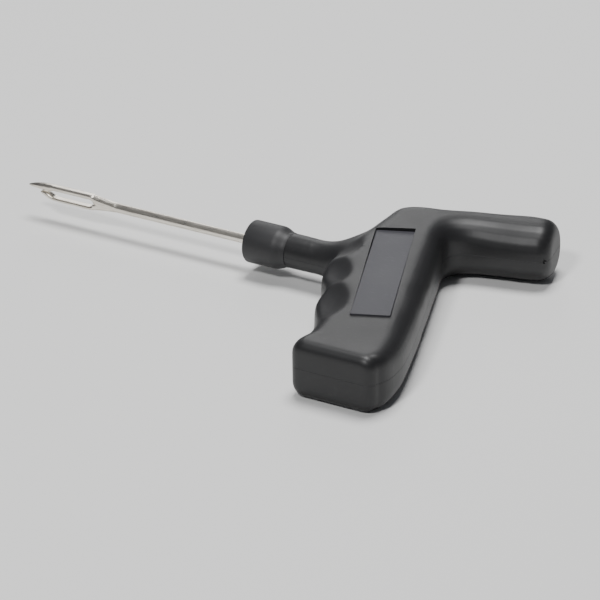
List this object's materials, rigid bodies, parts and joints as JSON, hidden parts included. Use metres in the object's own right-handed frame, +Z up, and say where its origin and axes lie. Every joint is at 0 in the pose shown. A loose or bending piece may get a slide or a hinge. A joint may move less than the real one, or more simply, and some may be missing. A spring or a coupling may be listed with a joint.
{
  "type": "tyre plug insertion tool",
  "caption": "Pistol-grip hand tool with a split-eye needle that pushes a string plug into a punctured tyre; two-part moulded handle, blank label plate, clamped replaceable needle.",
  "frame": {"origin": "on the surface the tool lies on, under the middle of its bounding box", "axes": "+X from the needle's point back along the needle to the horn, +Y from the butt of the grip to the horn, +Z up out of the side with the label plate"},
  "size_m": [0.1652, 0.1122, 0.0198],
  "materials": {
    "handle_plastic": "satin moulded",
    "label_plastic": "fine matt texture",
    "collar_plastic": "satin moulded",
    "plain_steel": "turned and zinc plated",
    "nickel_plate": "drawn, ground and bright nickel plated"
  },
  "bodies": {
    "handle": {"left_shell": "handle_plastic", "right_shell": "handle_plastic", "label_plate": "label_plastic", "neck_collar": "collar_plastic", "needle_socket": "plain_steel", "anchor_pin": "plain_steel", "grip_screw_upper": "plain_steel", "grip_screw_lower": "plain_steel"},
    "needle": {"insertion_needle": "nickel_plate"},
    "clamp_screw": {"set_screw": "plain_steel"}
  },
  "joints": [
    {"name": "needle_slide", "type": "slide", "parent": "handle", "child": "needle", "axis": [-1, 0, 0], "range_m": [0, 0.03]},
    {"name": "set_screw_travel", "type": "slide", "parent": "handle", "child": "clamp_screw", "axis": [0, 1, 0], "range_m": [0, 0.0025]}
  ]
}
